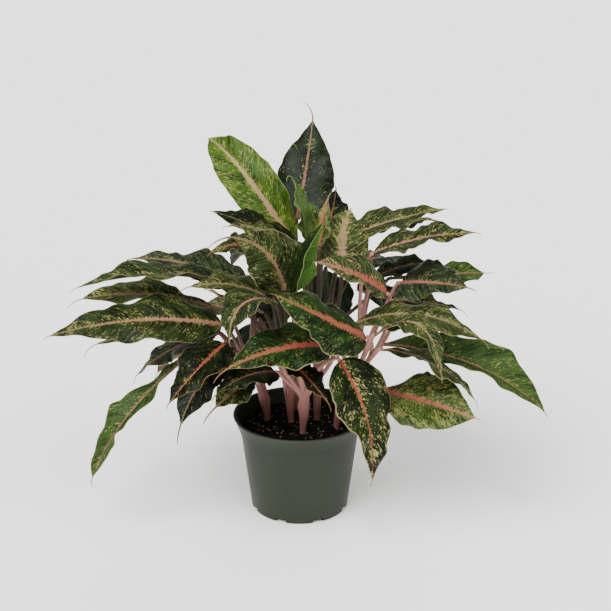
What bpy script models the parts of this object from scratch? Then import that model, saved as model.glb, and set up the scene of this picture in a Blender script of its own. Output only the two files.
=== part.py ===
"""A Chinese evergreen (aglaonema) in a six-inch nursery pot.

Metres, +Z up. The origin is the middle of the pot's underside, which stands on Z = 0.
The plant is six crowns that share one pot. A crown is a short cane with its leaf stalks,
grown together in one body; every leaf blade is a body of its own, 0.3 mm past its stalk.
"""

import math
import random
from dataclasses import dataclass

import bmesh
import bpy
from mathutils import Matrix, Vector

MM = 0.001
GAP = 0.3 * MM  # air between bodies that touch

# The pot: a thin-walled moulded nursery pot, 152 mm across its lip.
LIP_RADIUS = 76 * MM
POT_HEIGHT = 114 * MM
FOOT_RADIUS = 56 * MM
BAND_HEIGHT = 19 * MM  # the flared band under the lip
BAND_RADIUS = 69 * MM  # outside radius at the band's lower edge
BAND_STEP = 1.4 * MM  # how far the band stands out from the wall
WALL = 1.8 * MM
FLOOR = 2.5 * MM
LIP_BEAD = 2.2 * MM
FOOT_ROUND = 2 * MM
POT_SIDES = 48
SLOTS = 8  # drain slots round the foot
SLOT_WIDTH = 13 * MM
SLOT_HEIGHT = 4.5 * MM
SLOT_DEPTH = 9 * MM  # how far a slot runs in from the outside

# The soil: it fills the pot to a little below the lip.
SOIL_LEVEL = 99 * MM
SOIL_CROWNING = 2.5 * MM
SOIL_RINGS = 6
SOIL_SIDES = 32
SOIL_SHOULDER = 2 * MM  # its rim lies this much lower than its level
LUMP = 1.6 * MM

# The stems.
CANE_DEPTH = 45 * MM  # how deep a cane stands in the soil
CANE_FOOT = 4.2 * MM  # radius in the soil
CANE_WAIST = 6.6 * MM  # radius where the stalks sheathe it
CANE_SIDES = 8
HOLE_SIDES = 10
STALK_FOOT = 3.6 * MM
STALK_TOP = 2.3 * MM
STALK_NECK = 4 * MM  # the straight end that meets the blade
STALK_SIDES = 5

# The blades.
BLADE_THICKNESS = 0.8 * MM
BLADE_ROOT = 2.2 * MM  # half width of a blade where it meets its stalk
BODY_SHARES = (0, 0.08, 0.19, 0.31, 0.44, 0.58, 0.72, 0.87, 1)
TAIL_SHARES = (0.5, 1)
ACROSS = (-1, -0.55, 0, 0.55, 1)
TAPER = 1.1  # how finely the blade narrows to its tip
WAVES = 2.2  # ripples along a margin


@dataclass(frozen=True)
class Crown:
    """One cane: where it leaves the soil and where its top is, in millimetres."""

    name: str
    foot: tuple
    top: tuple


@dataclass(frozen=True)
class Leaf:
    """One leaf. Places and sizes are in millimetres, angles in degrees.

    The midrib is a bow from base to tip. arch and sweep are its height and its swing to the
    leaf's right, as shares of its length, and crest is where along it they are greatest.
    widest is where along it the blade is at its full width.
    roll leans the upper face to the leaf's right at the base, and twist adds to it by the tip.
    fold is how far each half is raised, droop how far its margin falls again.
    The drip tip is a tail that bends down by hook and to the right by curl.
    leave is the height on the cane, as a share, where the stalk springs from it.
    """

    crown: str
    base: tuple
    tip: tuple
    width: float
    arch: float = 0.08
    sweep: float = 0.0
    crest: float = 0.5
    widest: float = 0.35
    roll: float = 0
    twist: float = 0
    fold: float = 18
    droop: float = 0.25
    wave: float = 4
    tail: float = 14
    hook: float = 50
    curl: float = 0
    leave: float = 0.6


CROWNS = (
    Crown("a", (-37, 11), (-52, 8, 165)),
    Crown("b", (-10, 4), (-16, -2, 175)),
    Crown("c", (4, -24), (6, -40, 170)),
    Crown("d", (20, 12), (22, 12, 190)),
    Crown("e", (-5, 40), (8, 50, 185)),
    Crown("f", (42, -10), (58, -18, 170)),
)

LEAVES = (
    # The top of the plant.
    Leaf("d", (-4, 28, 303), (-105, 120, 406), 58, 0.17, -0.13, 0.6, widest=0.42, roll=-50, tail=8, fold=24),
    Leaf("e", (-3, 48, 330), (15, 125, 425), 68, 0.0, 0.01, fold=14, tail=30, hook=-20, curl=-60),
    Leaf("d", (8, 10, 318), (-5, 15, 382), 34, 0.03, roll=-15, fold=30, tail=24, hook=-30, curl=-150),
    Leaf("e", (28, 44, 306), (42, 98, 350), 48, 0.04, 0.03, roll=20, twist=15),
    Leaf("d", (46, -8, 293), (57, 52, 340), 59, 0.12, -0.03, roll=15, fold=12),
    Leaf("c", (-8, -58, 280), (27, -52, 357), 44, 0.16, crest=0.4, roll=136, fold=50, wave=1, tail=6),
    Leaf("d", (2, -2, 302), (-92, -22, 360), 58, 0.05, -0.01, roll=-20, twist=-5, tail=4),
    Leaf("b", (4, -14, 310), (-74, -56, 354), 46, 0.08, roll=-8, tail=8),
    Leaf("b", (-16, -52, 279), (-66, -94, 353), 62, 0.15, roll=-95, tail=34, hook=10, curl=-60),
    Leaf("b", (-35, 14, 290), (-99, 0, 305), 40, 0.22, roll=-15, tail=4, hook=80),
    # The left side.
    Leaf("a", (-63, 44, 252), (-191, 66, 278), 60, 0.07, widest=0.28, roll=-15, tail=18, hook=70, wave=5),
    Leaf("a", (-63, 8, 264), (-242, -24, 274), 64, 0.08, widest=0.5, roll=3, fold=26, tail=10),
    Leaf("a", (-83, 24, 226), (-240, -4, 254), 58, 0.08, widest=0.6, roll=-8, fold=22, tail=22, hook=50),
    Leaf("a", (-85, -26, 232), (-262, -88, 243), 62, 0.06, roll=-30, fold=14, tail=8, wave=5),
    Leaf("a", (-95, 10, 210), (-224, -24, 208), 50, 0.06, -0.01, tail=22, hook=60),
    Leaf("a", (-80, -56, 222), (-136, -120, 180), 58, 0.08, -0.05, roll=-15, twist=20, tail=8),
    Leaf("a", (-95, 40, 195), (-190, 45, 142), 56, 0.08, -0.01, roll=-10),
    Leaf("a", (-112, -2, 196), (-231, -62, 63), 42, 0.08, crest=0.6, widest=0.6, twist=-12, fold=30, wave=5),
    Leaf("a", (-78, -36, 206), (-128, -84, 139), 57, 0.08, 0.01, twist=-10, tail=24, hook=30),
    # The front.
    Leaf("c", (31, -72, 226), (-72, -140, 228), 64, 0.07, -0.01, roll=-25, tail=24, hook=70),
    Leaf("c", (-26, -54, 188), (-84, -108, 188), 48, 0.08, 0.01, roll=-15, twist=10),
    Leaf("a", (-48, -44, 179), (-88, -100, 167), 34, 0.03, -0.02, widest=0.55, roll=-20, tail=26, hook=60),
    Leaf("f", (72, -68, 234), (-23, -130, 304), 68, 0.0, roll=-37, twist=-10, fold=0, tail=8),
    Leaf("f", (94, -34, 271), (19, -86, 324), 48, 0.04, roll=-43, fold=30, tail=6),
    Leaf("c", (43, -84, 213), (77, -146, 104), 70, 0.0, -0.1, roll=10, twist=-40, tail=9, hook=10, curl=50),
    Leaf("c", (-14, -74, 212), (29, -112, 180), 36, 0.03, roll=0, fold=26),
    Leaf("b", (-29, -60, 273), (-72, -114, 248), 56, 0.28, 0.05, 0.6, twist=20, tail=8),
    Leaf("b", (-34, -22, 261), (-116, -48, 284), 52, 0.1, roll=-12, tail=16, hook=40),
    Leaf("b", (-40, -34, 250), (-97, -62, 285), 32, 0.0, tail=6),
    # The right side.
    Leaf("d", (60, 42, 314), (166, 76, 334), 54, 0.03, widest=0.3, roll=8, fold=22, tail=6),
    Leaf("f", (82, 8, 303), (190, -12, 333), 52, 0.05, roll=7, twist=10, fold=22, tail=8),
    Leaf("e", (70, 78, 307), (160, 108, 311), 44, 0.05, 0.01, tail=18),
    Leaf("f", (112, 6, 269), (178, -60, 287), 64, 0.03, widest=0.28, roll=28, twist=5, tail=12, hook=40),
    Leaf("f", (88, 42, 264), (166, 58, 272), 50, 0.1),
    Leaf("e", (105, 46, 261), (214, 75, 257), 42, 0.02, 0.01, widest=0.7, roll=20, tail=12, hook=-10),
    Leaf("f", (55, -45, 238), (194, -82, 236), 60, 0.16, 0.03, widest=0.5, roll=15, twist=-10, fold=12),
    Leaf("f", (105, 0, 250), (178, 0, 240), 46, 0.04, 0.01),
    Leaf("f", (80, -91, 246), (146, -142, 220), 40, 0.42, -0.02, tail=8, hook=20),
    Leaf("f", (95, -5, 200), (269, -60, 142), 72, 0.09, -0.02, 0.58, widest=0.5, roll=12, fold=33, tail=8),
    Leaf("f", (90, -66, 219), (188, -90, 170), 58, 0.12, widest=0.5, roll=-10, tail=12),
    Leaf("f", (90, -38, 159), (188, -96, 152), 80, 0.03, 0.03, widest=0.42, roll=0, twist=60, tail=8),
    # The back.
    Leaf("e", (-22, 92, 278), (-85, 185, 230), 62, 0.12),
    Leaf("e", (15, 100, 262), (30, 225, 228), 64, 0.12),
    Leaf("e", (60, 92, 252), (125, 190, 225), 62, 0.12),
    Leaf("b", (-60, 72, 205), (-165, 150, 165), 62, 0.12),
    Leaf("f", (106, 48, 198), (172, 148, 172), 56, 0.1),
    Leaf("e", (-18, 94, 238), (-38, 128, 150), 62, 0.06, widest=0.45),
    Leaf("a", (-90, 52, 168), (-175, 114, 114), 56, 0.1),
    Leaf("f", (86, 82, 241), (102, 126, 194), 54, 0.06, widest=0.45, tail=10),
    Leaf("b", (-48, 74, 198), (-64, 108, 122), 54, 0.06, widest=0.45),
    Leaf("e", (31, 99, 252), (37, 127, 160), 60, 0.06, widest=0.45, tail=10),
    # The youngest leaf, upright in the middle.
    Leaf("d", (22, -10, 316), (31, 0, 368), 28, 0.04, roll=-10, fold=25, tail=8, hook=-20, curl=60),
)


def millimetres(place):
    """The vector of a place given in millimetres."""
    return Vector(place) * MM


def material(name, colour, roughness):
    """A plain coat for one piece: a Principled BSDF with its colour and roughness."""
    coat = bpy.data.materials.new(name)
    coat.use_nodes = True
    shader = coat.node_tree.nodes["Principled BSDF"]
    shader.inputs["Base Color"].default_value = (*colour, 1)
    shader.inputs["Roughness"].default_value = roughness
    coat.diffuse_color = (*colour, 1)
    return coat


def add_object(name, shape, coat=None, smooth=None):
    """Puts a bmesh into the scene as a named object, and frees the bmesh."""
    bmesh.ops.recalc_face_normals(shape, faces=shape.faces)
    mesh = bpy.data.meshes.new(name)
    shape.to_mesh(mesh)
    shape.free()
    if coat:
        mesh.materials.append(coat)
    if smooth:
        mesh.shade_smooth()
        mesh.set_sharp_from_angle(angle=math.radians(smooth))
    piece = bpy.data.objects.new(name, mesh)
    bpy.context.scene.collection.objects.link(piece)
    return piece


def lathe(profile, sides):
    """A bmesh turned round Z from (radius, height) points that begin and end on the axis."""
    shape = bmesh.new()
    points = [shape.verts.new((radius, 0, height)) for radius, height in profile]
    edges = [shape.edges.new(pair) for pair in zip(points, points[1:])]
    bmesh.ops.spin(
        shape,
        geom=points + edges,
        axis=(0, 0, 1),
        cent=(0, 0, 0),
        steps=sides,
        angle=math.tau,
        use_merge=True,
    )
    bmesh.ops.remove_doubles(shape, verts=shape.verts, dist=0.01 * MM)
    return shape


def cut_out(piece, name, cutters):
    """Takes cutters out of a piece with one exact Boolean; they stay in the file as wires."""
    group = bpy.data.collections.new(name)
    bpy.context.scene.collection.children.link(group)
    for cutter in cutters:
        cutter.hide_render = True
        cutter.display_type = "WIRE"
        bpy.context.scene.collection.objects.unlink(cutter)
        group.objects.link(cutter)
    cut = piece.modifiers.new(name, "BOOLEAN")
    cut.operation = "DIFFERENCE"
    cut.operand_type = "COLLECTION"
    cut.collection = group


def wall_radius(height):
    """The pot's outside radius under the band, at a height."""
    share = height / (POT_HEIGHT - BAND_HEIGHT)
    return FOOT_RADIUS + share * (BAND_RADIUS - BAND_STEP - FOOT_RADIUS)


def add_pot(coat):
    """The pot: a tapered wall, a flared band with a rolled lip, and slots round the foot."""
    band_low = POT_HEIGHT - BAND_HEIGHT
    outside = [
        (FOOT_RADIUS - FOOT_ROUND, 0),
        (FOOT_RADIUS - 0.3 * FOOT_ROUND, 0.3 * FOOT_ROUND),
        (wall_radius(FOOT_ROUND), FOOT_ROUND),
        (wall_radius(band_low - BAND_STEP), band_low - BAND_STEP),
        (BAND_RADIUS, band_low),
        (LIP_RADIUS - LIP_BEAD, POT_HEIGHT - 2 * LIP_BEAD),
        (LIP_RADIUS, POT_HEIGHT - LIP_BEAD),
        (LIP_RADIUS - 0.4 * LIP_BEAD, POT_HEIGHT),
    ]
    inside = [
        (LIP_RADIUS - 0.4 * LIP_BEAD - WALL, POT_HEIGHT),
        (LIP_RADIUS - LIP_BEAD - WALL, POT_HEIGHT - 2 * LIP_BEAD),
        (BAND_RADIUS - WALL, band_low),
        (wall_radius(FLOOR) - WALL, FLOOR),
    ]
    pot = add_object("pot", lathe([(0, 0), *outside, *inside, (0, FLOOR)], POT_SIDES), coat, 40)
    slots = []
    for index in range(SLOTS):
        shape = bmesh.new()
        bmesh.ops.create_cube(shape, size=1)
        bmesh.ops.scale(shape, vec=(2 * SLOT_DEPTH, SLOT_WIDTH, 2 * SLOT_HEIGHT), verts=shape.verts)
        bmesh.ops.translate(shape, vec=(FOOT_RADIUS, 0, 0), verts=shape.verts)
        turn = Matrix.Rotation(math.tau * (index + 0.5) / SLOTS, 3, "Z")
        bmesh.ops.rotate(shape, cent=(0, 0, 0), matrix=turn, verts=shape.verts)
        slots.append(add_object(f"drain_slot_{index + 1}", shape))
    cut_out(pot, "drain_slots", slots)


def on_cane(crown, share):
    """The point a share of the way up a cane from the soil, which leans more as it rises."""
    foot = Vector((crown.foot[0] * MM, crown.foot[1] * MM, SOIL_LEVEL))
    top = millimetres(crown.top)
    lean = share**1.5
    return Vector(
        (
            foot.x + (top.x - foot.x) * lean,
            foot.y + (top.y - foot.y) * lean,
            foot.z + (top.z - foot.z) * share,
        )
    )


def add_soil(coat):
    """The soil: it fills the pot, its top is lumpy, and each cane has a plain hole in it."""
    draw = random.Random(7)
    clear = WALL + GAP / math.cos(math.pi / SOIL_SIDES)
    rim = SOIL_LEVEL - SOIL_SHOULDER
    low_radius = wall_radius(FLOOR) - clear
    top_radius = low_radius + (wall_radius(rim) - wall_radius(FLOOR)) * 0.95
    profile = [(0, FLOOR + GAP), (low_radius, FLOOR + GAP), (top_radius, rim)]
    for ring in range(SOIL_RINGS):
        share = 1 - (ring + 1) / SOIL_RINGS
        profile.append((top_radius * share, SOIL_LEVEL + SOIL_CROWNING * (1 - share**2)))
    shape = lathe(profile, SOIL_SIDES)
    for point in shape.verts:
        if point.co.z > SOIL_LEVEL - SOIL_SHOULDER / 2:
            point.co.z += draw.uniform(-LUMP, LUMP)
    bmesh.ops.triangulate(shape, faces=shape.faces)
    soil = add_object("soil", shape, coat, 50)
    depth = CANE_DEPTH + GAP
    length = 1.4 * depth  # the cutter stands well clear of the soil
    radius = (CANE_FOOT + GAP) / math.cos(math.pi / HOLE_SIDES)
    holes = []
    for crown in CROWNS:
        shape = bmesh.new()
        bmesh.ops.create_cone(
            shape, cap_ends=True, segments=HOLE_SIDES, radius1=radius, radius2=radius, depth=length
        )
        centre = (crown.foot[0] * MM, crown.foot[1] * MM, SOIL_LEVEL - depth + length / 2)
        bmesh.ops.translate(shape, vec=centre, verts=shape.verts)
        holes.append(add_object(f"cane_hole_{crown.name}", shape))
    cut_out(soil, "cane_holes", holes)


@dataclass(frozen=True)
class Station:
    """One place along a midrib: its point, the way on, the face's normal and its right."""

    point: Vector
    ahead: Vector
    face: Vector
    right: Vector
    half: float  # half width of the blade here
    share: float  # how far along the body, 0 to 1


def half_width(leaf, share, whole):
    """Half the blade's width: a rise from the stalk to its widest, and a taper to the tail."""
    rise = TAPER * leaf.widest / (1 - leaf.widest)
    peak = leaf.widest**rise * (1 - leaf.widest) ** TAPER
    belly = share**rise * (1 - share) ** TAPER / peak
    return leaf.width / 2 * MM * belly + BLADE_ROOT * math.sqrt(1 - whole)


def stations(leaf, body=BODY_SHARES, tail=TAIL_SHARES):
    """The stations of a leaf's midrib, from its base to the end of its tail."""
    base = millimetres(leaf.base)
    tip = millimetres(leaf.tip)
    chord = tip - base
    ahead = chord.normalized()
    up = (Vector((0, 0, 1)) - ahead.z * ahead).normalized()
    right = ahead.cross(up)
    bow = 2 * chord.length * (leaf.arch * up + leaf.sweep * right)
    knee = base + leaf.crest * chord + bow
    tail_length = leaf.tail * MM
    length = chord.length + tail_length
    places = []
    for share in body:
        point = (1 - share) ** 2 * base + 2 * share * (1 - share) * knee + share**2 * tip
        way = (1 - share) * (knee - base) + share * (tip - knee)
        places.append((point, way.normalized(), share, share * chord.length / length))
    face = up
    line = []
    for point, way, share, whole in places:
        face = (face - face.dot(way) * way).normalized()
        line.append(turned(leaf, point, way, face, share, whole))
    last = line[-1]
    bend = math.radians(math.hypot(leaf.hook, leaf.curl))
    toward = (-leaf.hook * last.face + leaf.curl * last.right).normalized()
    for share in tail:
        turn = max(bend, 1e-3) * share
        reach = tail_length / max(bend, 1e-3)
        point = last.point + reach * (math.sin(turn) * last.ahead + (1 - math.cos(turn)) * toward)
        way = math.cos(turn) * last.ahead + math.sin(turn) * toward
        normal = (last.face - last.face.dot(way) * way).normalized()
        whole = (chord.length + share * tail_length) / length
        half = half_width(leaf, 1, whole)
        line.append(Station(point, way, normal, way.cross(normal), half, 1))
    return line


def turned(leaf, point, way, face, share, whole):
    """A body station with the leaf's roll and twist put in."""
    angle = math.radians(leaf.roll + leaf.twist * share)
    right = way.cross(face)
    normal = math.cos(angle) * face + math.sin(angle) * right
    half = half_width(leaf, share, whole)
    return Station(point, way, normal, way.cross(normal), half, share)


def blade_point(leaf, station, across, number):
    """A point of the upper face: folded at the midrib, drooping and waved to the margin."""
    fold = math.radians(leaf.fold)
    away = abs(across)
    rise = station.half * (math.tan(fold) * away - leaf.droop * away**2)
    swell = math.sin(math.pi * station.share)
    phase = 2.4 * number + (1.1 if across > 0 else 0)
    ripple = leaf.wave * MM * away**1.5 * swell * math.sin(math.tau * WAVES * station.share + phase)
    sideways = station.half * across * math.cos(fold)
    return station.point + sideways * station.right + (rise + ripple) * station.face


def add_blade(number, leaf, coat):
    """One blade: a grid laid along the midrib, split alike on both faces and given its depth."""
    line = stations(leaf)
    shape = bmesh.new()
    bmesh.ops.create_grid(shape, x_segments=len(ACROSS) - 1, y_segments=len(line) - 1, size=1)
    shape.verts.ensure_lookup_table()
    for index, point in enumerate(shape.verts):
        row, column = divmod(index, len(ACROSS))
        point.co = blade_point(leaf, line[row], ACROSS[column], number)
    bmesh.ops.remove_doubles(shape, verts=shape.verts[-len(ACROSS):], dist=0.2 * MM)
    bmesh.ops.triangulate(shape, faces=shape.faces, quad_method="FIXED")
    mesh = bpy.data.meshes.new(f"leaf_{number:02d}")
    shape.to_mesh(mesh)
    shape.free()
    mesh.materials.append(coat)
    mesh.shade_smooth()
    blade = bpy.data.objects.new(mesh.name, mesh)
    bpy.context.scene.collection.objects.link(blade)
    depth = blade.modifiers.new("depth", "SOLIDIFY")
    depth.thickness = BLADE_THICKNESS
    depth.offset = -1


def tube(points, radii, sides):
    """A closed bmesh tube through points, with a radius at each."""
    shape = bmesh.new()
    ahead = (points[1] - points[0]).normalized()
    reference = Vector((1, 0, 0)) if abs(ahead.x) < 0.9 else Vector((0, 1, 0))
    normal = (reference - reference.dot(ahead) * ahead).normalized()
    rings = []
    for index, (point, radius) in enumerate(zip(points, radii)):
        before = points[max(index - 1, 0)]
        after = points[min(index + 1, len(points) - 1)]
        ahead = (after - before).normalized()
        normal = (normal - normal.dot(ahead) * ahead).normalized()
        binormal = ahead.cross(normal)
        ring = []
        for step in range(sides):
            angle = math.tau * step / sides
            offset = math.cos(angle) * normal + math.sin(angle) * binormal
            ring.append(shape.verts.new(point + radius * offset))
        rings.append(ring)
    edges = [[shape.edges.new((ring[i - 1], ring[i])) for i in range(sides)] for ring in rings]
    for low, high in zip(edges, edges[1:]):
        bmesh.ops.bridge_loops(shape, edges=low + high)
    shape.faces.new(rings[0])
    shape.faces.new(rings[-1])
    return shape


def stalk_line(crown, leaf, count=6):
    """The middle of a leaf stalk: up out of the cane, then on into the blade's own direction."""
    start = on_cane(crown, leaf.leave)
    root = stations(leaf, body=(0, 1), tail=())[0]
    last = root.point - GAP * root.ahead
    end = last - STALK_NECK * root.ahead
    span = (end - start).length
    above = on_cane(crown, leaf.leave + 0.1)
    climb = (above - start).normalized()
    outward = end - start
    outward.z = 0
    leaving = (climb + 0.35 * outward.normalized()).normalized() * span * 1.1
    arriving = (root.ahead + Vector((0, 0, 1))).normalized() * span * 0.8
    points = []
    for index in range(count):
        s = index / (count - 1)
        points.append(
            (2 * s**3 - 3 * s**2 + 1) * start
            + (s**3 - 2 * s**2 + s) * leaving
            + (3 * s**2 - 2 * s**3) * end
            + (s**3 - s**2) * arriving
        )
    return [*points, last]


def add_crown(crown, leaves, coat):
    """One crown: the cane with its leaf stalks, grown together."""
    parts = bpy.data.collections.new(f"stalks_{crown.name}")
    bpy.context.scene.collection.children.link(parts)
    points = [on_cane(crown, share) for share in (0, 0, 0.3, 0.6, 0.85, 1)]
    points[0] = points[1] - Vector((0, 0, CANE_DEPTH))
    swell = CANE_WAIST - CANE_FOOT
    radii = [CANE_FOOT + swell * share for share in (0, 0, 0.6, 1, 0.8, 0.3)]
    cane = add_object(f"crown_{crown.name}", tube(points, radii, CANE_SIDES), coat, 60)
    for index, leaf in enumerate(leaves):
        line = stalk_line(crown, leaf)
        last = len(line) - 1
        radii = [STALK_FOOT + (STALK_TOP - STALK_FOOT) * step / last for step in range(last + 1)]
        stalk = add_object(f"stalk_{crown.name}_{index + 1}", tube(line, radii, STALK_SIDES))
        bpy.context.scene.collection.objects.unlink(stalk)
        parts.objects.link(stalk)
    join = cane.modifiers.new("stalks", "BOOLEAN")
    join.operation = "UNION"
    join.operand_type = "COLLECTION"
    join.collection = parts
    bpy.context.view_layer.update()
    graph = bpy.context.evaluated_depsgraph_get()
    grown = bpy.data.meshes.new_from_object(cane.evaluated_get(graph))
    cane.modifiers.clear()
    cane.data = grown
    for stalk in list(parts.objects):
        bpy.data.objects.remove(stalk)
    bpy.data.collections.remove(parts)


def main():
    for leftover in list(bpy.data.objects):
        bpy.data.objects.remove(leftover)
    plastic = material("olive_plastic", (0.055, 0.065, 0.04), 0.45)
    earth = material("potting_soil", (0.012, 0.009, 0.007), 0.95)
    stem = material("pink_stem", (0.6, 0.3, 0.28), 0.4)
    green = material("leaf_green", (0.03, 0.09, 0.02), 0.35)
    add_pot(plastic)
    add_soil(earth)
    for crown in CROWNS:
        add_crown(crown, [leaf for leaf in LEAVES if leaf.crown == crown.name], stem)
    for number, leaf in enumerate(LEAVES, 1):
        add_blade(number, leaf, green)


main()
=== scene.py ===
"""The finish of a potted Chinese evergreen (aglaonema) in a green nursery pot.

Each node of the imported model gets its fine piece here, at the model's own place and size: leaf
blades with sunk veins and variegation, stems with their sheaths, crumbled soil with perlite, and
the moulded pot. Metres, +Z up. The places in the two tables of the plant are in millimetres.
"""

import logging
import math
import random
from collections.abc import Iterable
from dataclasses import dataclass, field
from enum import Enum

import bmesh
import bpy
from mathutils import Euler, Matrix, Vector, noise

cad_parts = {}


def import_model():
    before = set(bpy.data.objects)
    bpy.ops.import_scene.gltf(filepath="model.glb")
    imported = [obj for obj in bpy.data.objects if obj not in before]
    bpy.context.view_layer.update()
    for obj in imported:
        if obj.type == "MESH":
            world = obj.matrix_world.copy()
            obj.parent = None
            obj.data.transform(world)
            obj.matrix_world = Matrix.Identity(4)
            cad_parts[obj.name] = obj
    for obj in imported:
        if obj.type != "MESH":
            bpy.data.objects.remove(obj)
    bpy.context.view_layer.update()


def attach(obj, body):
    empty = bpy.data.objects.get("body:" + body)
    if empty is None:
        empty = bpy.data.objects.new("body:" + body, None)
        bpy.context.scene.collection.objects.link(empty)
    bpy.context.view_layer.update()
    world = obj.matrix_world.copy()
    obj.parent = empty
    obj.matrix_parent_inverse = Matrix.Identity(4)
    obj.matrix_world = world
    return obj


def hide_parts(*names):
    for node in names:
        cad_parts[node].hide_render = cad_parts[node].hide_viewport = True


MM = 0.001
BODY = "root"
SHARE_MAP = "share_map"  # U is the share across a blade, -1 to 1, and V the share along it
VEIN_MAP = "vein_map"  # U is metres from vein to vein, V metres out along a vein, left or right
STALK_MAP = "stalk_map"  # U is the share round a stalk, V metres up it
SOIL_LEVEL = 99 * MM
VEIN_SPACING = 8.5 * MM  # from side vein to side vein, along the midrib
CRISP, SOFT, FAINT = 0.02, 0.06, 0.12  # how soft a blotch's edge is, in the noise's own values
NOISE_MIDDLE, NOISE_SPREAD = 0.5, 0.4  # of the noise's values
WAX_LUMPS = 900.0  # in each metre of a leaf's cuticle, so 1.1 mm each
WAX_HEIGHT = 0.35  # beside that of a side vein
MARGIN_LUMP = 6.25 * MM  # how long a margin keeps its width
WAVE_RATE = 20  # radians that the wave texture turns in each unit
RIB_TOOTH = (2.2 * MM, 25 * MM)  # a tooth's width and length
SPECK_FIELD = (15 * MM, 20 * MM)  # width and length of the fields in which specks gather
RIB_CROWD = (2 * MM, 10 * MM)  # how far from the midrib they crowd, and no more

Node = bpy.types.Node
NodeTree = bpy.types.NodeTree
Socket = bpy.types.NodeSocket
Material = bpy.types.Material
Piece = bpy.types.Object
Shape = bmesh.types.BMesh

log = logging.getLogger("evergreen")


def linear(code: str) -> tuple[float, float, float, float]:
    """Turns an sRGB hex value into linear RGBA.

    Args:
        code: Six hex digits after a #.

    Returns:
        The colour that a shader socket takes.
    """
    shades = (int(code[start : start + 2], 16) / 255 for start in (1, 3, 5))
    red, green, blue = (s / 12.92 if s <= 0.04045 else ((s + 0.055) / 1.055) ** 2.4 for s in shades)
    return red, green, blue, 1.0


def add_node(tree: NodeTree, kind: str, inputs: dict | None = None, **settings: object) -> Node:
    """Adds one node with its settings, values and links.

    Args:
        tree: The tree that takes the node.
        kind: The node's type.
        inputs: For each input, by name or number, its value or the socket that feeds it.
        settings: The node's own properties.

    Returns:
        The new node.
    """
    node = tree.nodes.new(kind)
    for name, value in settings.items():
        setattr(node, name, value)
    for key, value in (inputs or {}).items():
        if isinstance(value, Socket):
            tree.links.new(value, node.inputs[key])
        else:
            node.inputs[key].default_value = value
    return node


def new_material(name: str) -> tuple[Material, NodeTree]:
    """Makes an empty node material.

    Args:
        name: The material's name.

    Returns:
        The material and its tree.
    """
    material = bpy.data.materials.new(name)
    material.use_nodes = True
    material.node_tree.nodes.clear()
    return material, material.node_tree


def add_piece(name: str, shape: Shape, materials: list[Material], slot: str, *nodes: str) -> Piece:
    """Turns a bmesh into a finished piece and frees the bmesh.

    Args:
        name: The piece's name.
        shape: Its geometry, placed where it belongs.
        materials: Its finishes, in the order of its material numbers.
        slot: The record's material slot; it is not used.
        nodes: The CAD nodes that it stands for.

    Returns:
        The piece, riding on the part's one body.
    """
    mesh = bpy.data.meshes.new(name)
    shape.to_mesh(mesh)
    shape.free()
    for material in materials:
        mesh.materials.append(material)
    mesh.shade_smooth()
    piece = bpy.data.objects.new(name, mesh)
    bpy.context.scene.collection.objects.link(piece)
    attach(piece, BODY)
    if nodes:
        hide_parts(*nodes)
    return piece


def paint(tree: NodeTree, ground: str, layers: Iterable[tuple[Socket, str]]) -> Socket:
    """Lays colours over one another.

    Args:
        tree: The material's tree.
        ground: The lowest colour.
        layers: Each layer's mask and colour, from the lowest to the topmost.

    Returns:
        The colour that shows.
    """
    colour = linear(ground)
    for mask, shade in layers:
        mix = add_node(tree, "ShaderNodeMix", {0: mask, 6: colour, 7: linear(shade)}, data_type="RGBA")
        colour = mix.outputs[2]
    return colour


def emboss(tree: NodeTree, look: dict, height: Socket, strength: float, depth: float) -> None:
    """Ends a material with its shader, embossed by a height.

    Args:
        tree: The material's tree.
        look: The shader's inputs, by name.
        height: How far the surface stands out, 0 to 1.
        strength: How much of the depth shows; below 0 the surface sinks instead.
        depth: The depth in metres.
    """
    shown = {"Strength": abs(strength), "Distance": depth, "Height": height}
    relief = add_node(tree, "ShaderNodeBump", shown, invert=strength < 0)
    shader = add_node(tree, "ShaderNodeBsdfPrincipled", {**look, "Normal": relief.outputs[0]})
    add_node(tree, "ShaderNodeOutputMaterial", {"Surface": shader.outputs[0]})


def blotches(
    tree: NodeTree,
    place: Socket,
    seed: float,
    size: tuple[float, float],
    cover: float,
    soft: float,
    push: Socket | float = 0.0,
) -> Socket:
    """A mask of long blotches that lie along the side veins.

    Args:
        tree: The material's tree.
        place: The vein map.
        seed: Where in the noise this leaf lies.
        size: A blotch's width and length in millimetres.
        cover: About the share of the face that they cover.
        soft: How soft their edges are.
        push: Makes the blotches larger where it is above 0.

    Returns:
        The mask, 1 inside a blotch.
    """
    scale = (1 / (size[0] * MM), 1 / (size[1] * MM), 1)
    spread = add_node(
        tree, "ShaderNodeMapping", {"Vector": place, "Location": (seed, 0.37 * seed, seed), "Scale": scale}
    )
    cloud = add_node(tree, "ShaderNodeTexNoise", {"Vector": spread.outputs[0], "Scale": 1.0, "Detail": 2.0})
    pushed = add_node(tree, "ShaderNodeMath", {0: cloud.outputs[0], 1: push}, operation="ADD")
    edge = NOISE_MIDDLE + NOISE_SPREAD * (NOISE_MIDDLE - cover)
    cut = add_node(
        tree,
        "ShaderNodeMapRange",
        {"Value": pushed.outputs[0], "From Min": edge - soft, "From Max": edge + soft},
        interpolation_type="SMOOTHSTEP",
    )
    return cut.outputs[0]


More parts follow.
